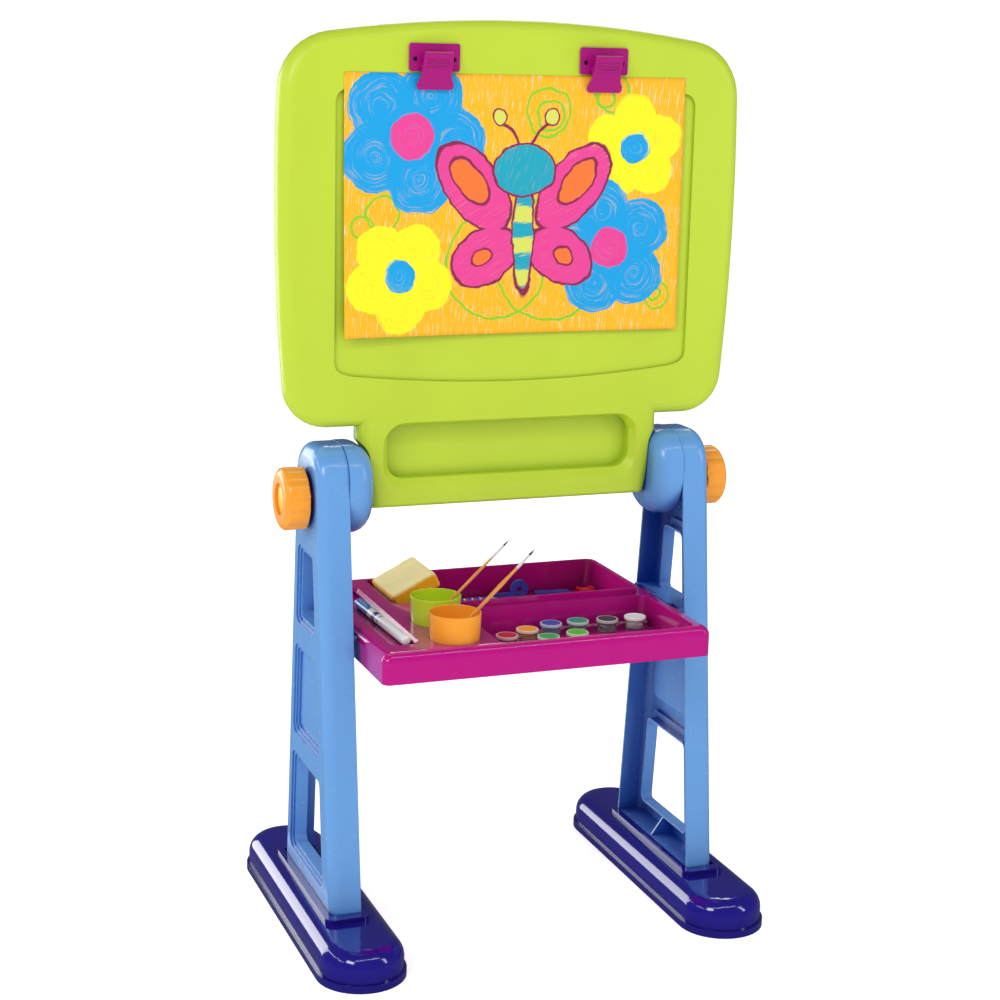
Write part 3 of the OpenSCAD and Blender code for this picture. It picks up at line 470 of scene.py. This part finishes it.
def drawing_material():
    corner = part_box("paper_sheet")[0]
    g = Crayon("crayon_drawing", corner, PAPER_YELLOW)
    streak = g.between(g.strokes(6, 1.3), 0.56, 0.66)
    g.colour = g.mix(g.math("MULTIPLY", streak, 0.65), g.colour, (1, 0.95, 0.8))
    for centre, radius in CURLS:
        g.curl(centre, radius, LEAF)
    for flower in FLOWERS:
        g.flower(*flower)
    butterfly(g, Vector((21.8, 12.4)))
    wax = g.noise(g.flat, 22, 3, 0.7)
    tone = g.between(wax, 0.3, 0.7, 0.95, 1.03)
    return g.finish(Base_Color=g.scaled(g.colour, tone), Roughness=0.62, Normal=g.bump(wax, 0.25, 0.0001),
                    Specular_IOR_Level=0.3)


def butterfly(g, middle):
    """A plain butterfly of ellipses, without a face."""
    def oval(side, x, y, radii, turn):
        return g.ellipse(tuple(middle + Vector((side * x, y))), radii, side * turn)

    wings = g.joined([oval(side, *shape) for side in (-1, 1)
                      for shape in ((6.2, 4.6, (6.0, 3.3), 50), (4.8, -3.4, (4.4, 3.1), -30))])
    g.fill(wings, ROSE, 60, 0.85)
    g.line(wings, PLUM, 0.13)
    for side in (-1, 1):
        patch = g.joined([oval(side, 6.7, 5.3, (3.2, 1.6), 50), oval(side, 5.2, -3.4, (1.3, 1.0), -30)])
        g.fill(patch, TANGERINE, 20, 0.85)
        g.line(patch, PLUM, 0.11)
        feeler = g.math("ABSOLUTE", oval(side, 2.6, 8.6, (2.0, 3.4), -18))
        keep = g.between(oval(side, 1.3, 10.4, (1.7, 3.4), -18), 0, 0.1)
        g.colour = g.mix(g.math("MULTIPLY", g.between(feeler, 0.2, 0.1), keep), g.colour, PLUM)
        tip = g.circle(tuple(middle + Vector((side * 3.2, 12.6))), 0.95)
        g.fill(tip, LEMON_LIME, 0, 0.9)
        g.line(tip, PLUM, 0.11)
    trunk = g.ellipse(tuple(middle + Vector((0, -1.0))), (1.35, 6.6), 0)
    head = g.ellipse(tuple(middle + Vector((0, 6.6))), (3.9, 3.0), 0)
    g.fill(trunk, LEMON_LIME, 80, 0.9)
    rings = g.math("SINE", g.math("MULTIPLY", g.add("ShaderNodeSeparateXYZ", {0: g.at}, 1), 1.7))
    g.fill(g.math("MINIMUM", trunk, g.math("MULTIPLY", rings, 0.4)), LAGOON, 80, 0.9)
    g.line(trunk, PLUM, 0.12)
    g.fill(head, LAGOON, 20, 0.85)
    g.line(head, PLUM, 0.12)


def make_paper():
    new_piece("drawing_paper", paper_mesh(), drawing_material(), "board", ["paper_sheet"])


SPONGE_SIZE = Vector((64, 90, 22)) * MM
SPONGE_TILT = math.radians(-27)


def sponge_mesh():
    """Foam block with soft edges and small open cells in its skin."""
    low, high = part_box("sponge")
    middle = (low + high) / 2
    half = SPONGE_SIZE / 2 - Vector((0.6, 0.6, 0.6)) * MM
    edge, cell = 4.5 * MM, 1.25 * MM
    counts = [max(4, round(2 * h / cell)) for h in half]
    bm = bmesh.new()
    found = {}

    def corner(key):
        if key not in found:
            p = Vector([(2 * k / n - 1) * h for k, n, h in zip(key, counts, half)])
            core = Vector([max(-(h - edge), min(h - edge, c)) for c, h in zip(p, half)])
            out = (p - core).normalized()
            p = core + out * edge
            swell = 1.4 * MM * (1 - (p.x / half.x) ** 2) * (1 - (p.y / half.y) ** 2)
            p.z += swell * (0.5 if p.z > 0 else 0)
            cells = noise.noise(p * 620) + 0.6 * noise.noise(p * 1400)
            p -= out * (max(0.0, cells - 0.42) * 1.5 * MM)
            p += out * (0.5 * MM * noise.noise(p * 90))
            found[key] = bm.verts.new(middle + Euler((0, SPONGE_TILT, 0)).to_matrix() @ p)
        return found[key]

    for axis in range(3):
        a, b = [k for k in range(3) if k != axis]
        for end in (0, counts[axis]):
            for i in range(counts[a]):
                for j in range(counts[b]):
                    keys = []
                    for di, dj in ((0, 0), (1, 0), (1, 1), (0, 1)):
                        key = [0, 0, 0]
                        key[axis], key[a], key[b] = end, i + di, j + dj
                        keys.append(tuple(key))
                    bm.faces.new([corner(k) for k in keys])
    return mesh_from("foam_sponge", bm)


def sponge_material():
    g = Graph("sponge_foam")
    where = g.place()
    pores = g.add("ShaderNodeTexVoronoi", {"Vector": where, "Scale": 620.0}, "Distance")
    holes = g.between(pores, 0.1, 0.3)
    # painted light and shade: faces that point up get a paler yellow, the sides a deeper orange
    sides = g.add("ShaderNodeSeparateXYZ", {0: g.add("ShaderNodeNewGeometry", {}, "Normal")}, 2)
    skin = g.mix(g.between(sides, 0.3, 0.75), srgb(255, 178, 24), srgb(255, 234, 172))
    # painted shade: the colour inside the pores is mixed towards a darker orange
    base = g.mix(holes, g.mix(0.2, skin, srgb(240, 150, 40)), skin)
    return g.finish(Base_Color=base, Roughness=0.85, Normal=g.bump(holes, 0.35, 0.0005),
                    Subsurface_Weight=0.15, Subsurface_Radius=(0.004, 0.002, 0.001),
                    Sheen_Weight=0.2, Specular_IOR_Level=0.2)


def make_sponge():
    piece = new_piece("foam_sponge", sponge_mesh(), sponge_material(), "sponge", ["sponge"])


def axis_of(joint):
    return Vector(next(j["axis"] for j in frame["joints"] if j["name"] == joint)).normalized()


def tuft_mesh(name, node, along, spread, seed):
    """Tapered hairs that start in the ferrule and close to a point."""
    shuffle = random.Random(seed)
    points = [v.co for v in nodes[node].data.vertices]
    start = min(p.dot(along) for p in points)
    length = max(p.dot(along) for p in points) - start
    ends = [p for p in points if p.dot(along) - start < 0.3 * MM]
    base = sum(ends, Vector()) / len(ends)
    side = along.orthogonal().normalized()
    other = along.cross(side)
    bm = bmesh.new()
    for k in range(130):
        angle, out = shuffle.uniform(0, 2 * math.pi), math.sqrt(shuffle.random())
        aim = side * math.cos(angle) + other * math.sin(angle)
        reach = length * (1.02 - 0.28 * out * out) * shuffle.uniform(0.94, 1.0)
        rings = []
        for step in range(5):
            t = step / 4
            belly = (0.82 + 0.55 * math.sin(math.pi * min(1, t * 1.15))) * (1 - 0.55 * t)
            centre = base + along * (reach * t) + aim * (spread * out * belly)
            radius = 0.11 * MM * (1 - 0.8 * t)
            rings.append([bm.verts.new(centre + (side * math.cos(q) + other * math.sin(q)) * radius)
                          for q in (0, 2.094, 4.189)])
        for low, high in zip(rings, rings[1:]):
            for q in range(3):
                bm.faces.new([low[q], low[(q + 1) % 3], high[(q + 1) % 3], high[q]])
        bm.faces.new(rings[-1])
        bm.faces.new(rings[0][::-1])
    return mesh_from(name, bm)


def hair_material(name, root, tip, low, high, along):
    """Colour runs from root to tip along the brush."""
    g = Graph(name)
    local = g.add("ShaderNodeVectorMath", {0: g.place(), 1: tuple(along)}, "Value", operation="DOT_PRODUCT")
    base = g.mix(g.between(local, low, high), root, tip)
    return g.finish(Base_Color=base, Roughness=0.45, Sheen_Weight=0.3)


def make_brush(which, seed, tip):
    along = axis_of(which + "_draw")
    width = 1.2 * MM if which == "thin_brush" else 1.45 * MM
    node = which + "_bristles"
    spans = [v.co.dot(along) for v in nodes[node].data.vertices]
    hair = hair_material(which + "_hair", srgb(58, 36, 24), tip, min(spans) + 6 * MM, max(spans), along)
    mesh = tuft_mesh(which + "_hair", node, along, width, seed)
    new_piece(which + "_hair", mesh, hair, which, [node])
    handle = wood(which + "_wood", srgb(240, 165, 85), srgb(205, 120, 50), along)
    set_material(nodes[which + "_handle"], handle)
    set_material(nodes[which + "_ferrule"], metal(which + "_ferrule", (0.9, 0.9, 0.92), 0.25, shine=0.4))


def paint_mesh(name, centre, radius, low, high):
    """Paint in a pot, with a curved rim where it wets the wall."""
    profile = [(0.0, high - 0.5 * MM), (radius * 0.6, high - 0.45 * MM), (radius * 0.9, high - 0.1 * MM),
               (radius, high + 0.5 * MM), (radius, low), (0.0, low)]
    bm = bmesh.new()
    around = 40
    rings = []
    for r, z in profile:
        if r == 0:
            rings.append([bm.verts.new((centre.x, centre.y, z))])
            continue
        rings.append([bm.verts.new((centre.x + r * math.cos(2 * math.pi * k / around),
                                    centre.y + r * math.sin(2 * math.pi * k / around), z))
                      for k in range(around)])
    for a, b in zip(rings, rings[1:]):
        for k in range(around):
            m = (k + 1) % around
            ring = [a[k % len(a)], a[m % len(a)], b[m % len(b)], b[k % len(b)]]
            bm.faces.new(list(dict.fromkeys(ring)))
    return mesh_from(name, bm)


PAINTS = {"red": (200, 16, 50), "yellow": (250, 160, 30), "blue": (25, 80, 180), "teal": (12, 150, 125),
          "black": (52, 60, 64), "white": (245, 245, 245), "green": (50, 170, 90), "lime": (90, 190, 50)}
POTS = {"row": ("red", "yellow", "blue", "teal", "black", "white"), "pair": ("green", "lime")}
POT_WALL = 1.2 * MM
PAINT_DEPTH = 9.0 * MM
POT_INNER = 10.9 * MM


def make_pots():
    clear = clear_plastic("pot_clear")
    for row, names in POTS.items():
        node = "paint_pots_" + row
        set_material(nodes[node], clear)
        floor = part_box(node)[0].z + POT_WALL
        for colour in names:
            low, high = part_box("lid_" + colour)
            centre = (low + high) / 2
            tint = srgb(*PAINTS[colour])
            mesh = paint_mesh("paint_" + colour, centre, POT_INNER, floor + 0.1 * MM, floor + PAINT_DEPTH)
            wet = plastic("paint_" + colour, tint, 0.2, grain=0.05)
            new_piece("paint_" + colour, mesh, wet, "pots_" + row)
            set_material(nodes["lid_" + colour], lid_material("lid_" + colour, tint, centre))


def lid_material(name, tint, centre):
    """Coloured disc inside a clear rim."""
    g = Graph(name)
    where = g.mapped(g.place(), location=(-centre.x, -centre.y, 0), scale=(1, 1, 0))
    away = g.add("ShaderNodeVectorMath", {0: where}, "Value", operation="LENGTH")
    rim = g.between(away, 11.4 * MM, 11.7 * MM)
    pale = tuple(0.45 * c + 0.5 for c in tint)
    base = g.mix(rim, tint, pale)
    return g.finish(Base_Color=base, Roughness=0.25,
                    Normal=g.bump(g.noise(g.place(), 500, 2), 0.08, 0.0001))


# ---------- materials of the CAD nodes ----------

def set_material(part, material):
    part.data.materials.clear()
    part.data.materials.append(material)


def striped_pencil():
    """Painted stripes along the shaft, bare wood at the cut and a dark point."""
    low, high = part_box("pencil")
    g = Graph("pencil_paint")
    t = g.between(g.along(0), low.x, high.x)
    turns = g.math("FRACT", g.math("MULTIPLY", t, 9.0))
    bands = g.steps(turns, [(0, srgb(45, 70, 200)), (0.42, srgb(225, 230, 240)),
                            (0.6, srgb(215, 45, 70)), (0.78, srgb(70, 110, 215))])
    end = g.steps(t, [(0, (0, 0, 0)), (0.875, (1, 1, 1))])
    bare = g.mix(g.between(t, 0.965, 0.97), srgb(225, 180, 120), srgb(40, 40, 60))
    return g.finish(Base_Color=g.mix(end, bands, bare), Roughness=0.35, Coat_Weight=0.3,
                    Normal=g.bump(g.noise(g.place(), 700, 2), 0.15, 0.0001))


def marker_barrel_material():
    """White barrel with two plain blue bands."""
    low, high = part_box("marker_barrel")
    g = Graph("marker_white")
    t = g.between(g.along(1), low.y, high.y)
    white, band = srgb(246, 246, 246), srgb(30, 60, 150)
    bands = g.steps(t, [(0, white), (0.62, band), (0.64, white), (0.70, band), (0.78, white)])
    return g.finish(Base_Color=bands, Roughness=0.25, Coat_Weight=0.5,
                    Normal=g.bump(g.noise(g.place(), 600, 2), 0.06, 0.0001))


def dress_cad():
    # the second, darker colour given to the board, legs, feet, tray and knobs is painted shade for their
    # hollows
    lime = plastic("board_lime", srgb(190, 214, 50), 0.4, painted_shade=srgb(150, 180, 25), reach=0.03, grain=0.2)
    blue = plastic("leg_blue", srgb(103, 160, 223), 0.26, coat=0.3, painted_shade=srgb(0, 50, 165), reach=0.22)
    navy = plastic("foot_navy", srgb(26, 18, 132), 0.12, coat=1.0, grain=0.03, painted_shade=srgb(16, 8, 84))
    magenta = plastic("tray_magenta", srgb(188, 8, 130), 0.16, coat=0.7, grain=0.03,
                      painted_shade=srgb(112, 8, 76), reach=0.06)
    clip = plastic("clip_magenta", srgb(168, 10, 120), 0.22, coat=0.4)
    orange = plastic("knob_orange", srgb(252, 162, 46), 0.3, coat=0.3, painted_shade=srgb(235, 120, 20), reach=0.01)
    disc = plastic("disc_yellow", srgb(250, 196, 50), 0.3)
    steel = metal("steel", (0.62, 0.62, 0.64), 0.28)
    looks = {
        "foot_": navy, "leg_": blue, "hub_cap_": blue, "washer_": rubber("washer_rubber"),
        "tray": magenta, "knob_disc_": disc, "knob_left": orange, "knob_right": orange,
        "pivot_bolt_": steel, "nut_insert_": metal("brass", (0.78, 0.57, 0.22), 0.3),
        "board_front": lime, "board_back": lime, "clip_base_": clip, "clip_lever_": clip,
        "cup_green": plastic("cup_green", srgb(192, 218, 40), 0.22, coat=0.3),
        "cup_orange": plastic("cup_orange", srgb(250, 162, 44), 0.22, coat=0.3),
        "marker_barrel": marker_barrel_material(),
        "marker_cap": plastic("marker_blue", srgb(28, 125, 200), 0.25, coat=0.4),
        "pencil": striped_pencil(),
        "crayon": plastic("crayon_wax", srgb(48, 52, 165), 0.5),
        "shaping_tool": plastic("tool_plastic", srgb(58, 72, 190), 0.4),
        "sharpener": plastic("sharpener_red", srgb(222, 28, 38), 0.3, coat=0.3),
    }
    for small in ("foot_screws", "board_screws", "clip_pins", "clip_spring_"):
        looks[small] = steel
    looks["clip_screws"] = metal("clip_screw_steel", (0.16, 0.15, 0.17), 0.35)
    for name, part in nodes.items():
        prefix = max((k for k in looks if name.startswith(k)), key=len, default=None)
        if prefix:
            set_material(part, looks[prefix])


# ---------- the whole ----------

make_camera()
make_studio()
smooth_cad(smoothing_group())
dress_cad()
make_paper()
make_sponge()
make_brush("thin_brush", 3, srgb(58, 36, 24))
make_brush("thick_brush", 5, srgb(235, 225, 205))
make_pots()
